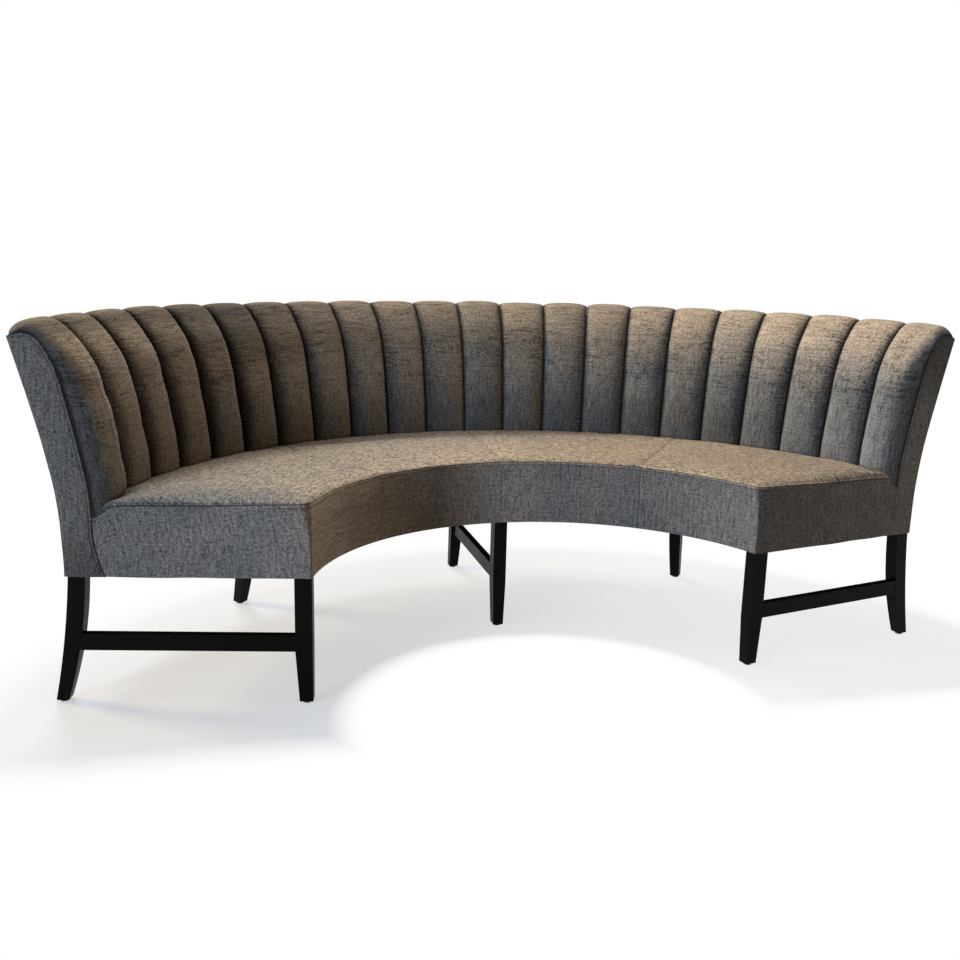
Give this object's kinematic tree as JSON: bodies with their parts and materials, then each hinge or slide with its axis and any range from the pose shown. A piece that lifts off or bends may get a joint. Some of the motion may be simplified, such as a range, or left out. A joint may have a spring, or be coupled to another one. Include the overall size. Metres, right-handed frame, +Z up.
{
  "type": "upholstered banquette bench",
  "caption": "Half-round upholstered banquette bench with a flared, vertically channelled back, a tight crowned seat and black sabre legs tied by stretchers.",
  "frame": {"origin": "on the floor, under the middle of the bench's bounding box", "axes": "+Z up; +X along the bench; the open side, where people sit down, faces -Y"},
  "size_m": [2.4212, 1.0708, 0.898],
  "materials": {
    "chenille": "short-pile chenille weave, warm taupe turning slate grey against the nap",
    "foam": "open-cell foam",
    "webbing": "woven elastic webbing",
    "dust_cloth": "thin black non-woven cloth",
    "black_wood": "black satin lacquer",
    "frame_wood": "sawn hardwood",
    "plywood": "birch plywood",
    "lining_board": "thin bendable board",
    "glide_plastic": "nylon",
    "bolt_steel": "zinc-plated"
  },
  "bodies": {
    "root": {"leg_front_left": "black_wood", "leg_front_centre": "black_wood", "leg_front_right": "black_wood", "leg_rear_left": "black_wood", "leg_rear_mid_left": "black_wood", "leg_rear_centre": "black_wood", "leg_rear_mid_right": "black_wood", "leg_rear_right": "black_wood", "stretcher_left": "black_wood", "stretcher_centre": "black_wood", "stretcher_right": "black_wood", "leg_glides": "glide_plastic", "leg_bolts": "bolt_steel", "leg_blocks": "frame_wood", "seat_front_rail_left": "frame_wood", "seat_rear_rail_left": "frame_wood", "seat_front_rail_right": "frame_wood", "seat_rear_rail_right": "frame_wood", "seat_cross_rails": "frame_wood", "seat_webbing": "webbing", "seat_foam_left_end": "foam", "seat_cover_left_end": "chenille", "outer_back_cover_left_end": "chenille", "seat_foam_left_middle": "foam", "seat_cover_left_middle": "chenille", "outer_back_cover_left_middle": "chenille", "seat_foam_right_middle": "foam", "seat_cover_right_middle": "chenille", "outer_back_cover_right_middle": "chenille", "seat_foam_right_end": "foam", "seat_cover_right_end": "chenille", "outer_back_cover_right_end": "chenille", "back_channel_01": "chenille", "back_channel_02": "chenille", "back_channel_03": "chenille", "back_channel_04": "chenille", "back_channel_05": "chenille", "back_channel_06": "chenille", "back_channel_07": "chenille", "back_channel_08": "chenille", "back_channel_09": "chenille", "back_channel_10": "chenille", "back_channel_11": "chenille", "back_channel_12": "chenille", "back_channel_13": "chenille", "back_channel_14": "chenille", "back_channel_15": "chenille", "back_channel_16": "chenille", "back_channel_17": "chenille", "back_channel_18": "chenille", "back_channel_19": "chenille", "back_channel_20": "chenille", "back_channel_21": "chenille", "back_channel_22": "chenille", "back_ribs": "plywood", "back_lining": "lining_board", "back_top_rail": "frame_wood", "end_panel_left": "chenille", "end_panel_right": "chenille", "dust_cover": "dust_cloth"}
  },
  "joints": []
}
